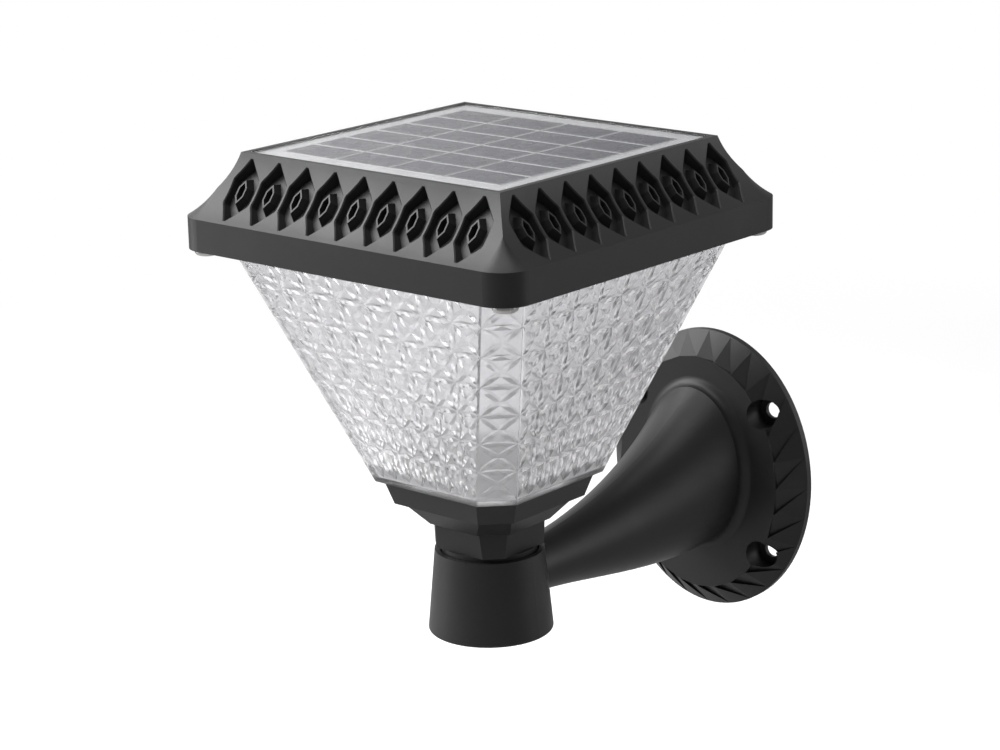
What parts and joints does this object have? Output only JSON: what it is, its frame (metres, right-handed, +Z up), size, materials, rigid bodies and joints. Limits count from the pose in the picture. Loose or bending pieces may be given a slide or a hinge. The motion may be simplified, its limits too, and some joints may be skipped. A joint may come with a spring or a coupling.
{
  "type": "solar wall lamp",
  "caption": "Square solar lantern head with a hollow vented roof and pressed clear shade, turning in the cup of a horn-shaped oval wall bracket.",
  "frame": {"origin": "centre of the wall flange's back face, on the wall", "axes": "+X to the right seen from the front, +Y into the wall, +Z up; the lamp stands out towards -Y"},
  "size_m": [0.17, 0.2385, 0.2341],
  "materials": {
    "black_plastic": "satin moulded black",
    "clear_plastic": "clear with a pressed star pattern",
    "panel_film": "clear film",
    "cell_glass": "dark silicon under film",
    "white_sheet": "plain white",
    "bright_steel": "stainless",
    "grey_rubber": "soft seal",
    "white_plastic": "white moulded",
    "white_board": "white solder mask",
    "led_yellow": "phosphor",
    "cell_wrap": "shrink sleeve",
    "black_moulding": "moulded",
    "nickel_strip": "nickel plated",
    "green_board": "green solder mask",
    "button_rubber": "soft cap",
    "lead_sleeve": "insulated wire"
  },
  "bodies": {
    "bracket": {"wall_bracket": "black_plastic", "friction_washer": "bright_steel"},
    "head": {"neck_collar": "black_plastic", "roof_cap": "black_plastic", "base_frame": "black_plastic", "lens": "clear_plastic", "panel_cover": "panel_film", "solar_cells": "cell_glass", "solar_backsheet": "white_sheet", "panel_adhesive": "white_sheet", "cap_screws": "bright_steel", "collar_screws": "bright_steel", "pivot_screw": "bright_steel", "led_board_screws": "bright_steel", "control_board_screws": "bright_steel", "lens_gasket": "grey_rubber", "collar_gasket": "grey_rubber", "reflector_tray": "white_plastic", "floor_reflector": "white_sheet", "led_board": "white_board", "leds": "led_yellow", "battery_cells": "cell_wrap", "battery_holder": "black_moulding", "battery_contacts": "nickel_strip", "control_board": "green_board", "control_chip": "black_moulding", "inductor": "black_moulding", "lead_connectors": "white_plastic", "switch_body": "black_moulding", "panel_leads": "lead_sleeve", "battery_leads": "lead_sleeve", "led_leads": "lead_sleeve", "switch_leads": "lead_sleeve"},
    "button": {"power_button": "button_rubber"}
  },
  "joints": [
    {"name": "head_swivel", "type": "hinge", "parent": "bracket", "child": "head", "pos_m": [0, -0.1535, 0.0045], "axis": [0, 0, 1], "continuous": true},
    {"name": "button_press", "type": "slide", "parent": "head", "child": "button", "axis": [0, 0, 1], "range_m": [0, 0.0012], "stiffness_N_per_m": 800, "springref_m": -0.001}
  ]
}
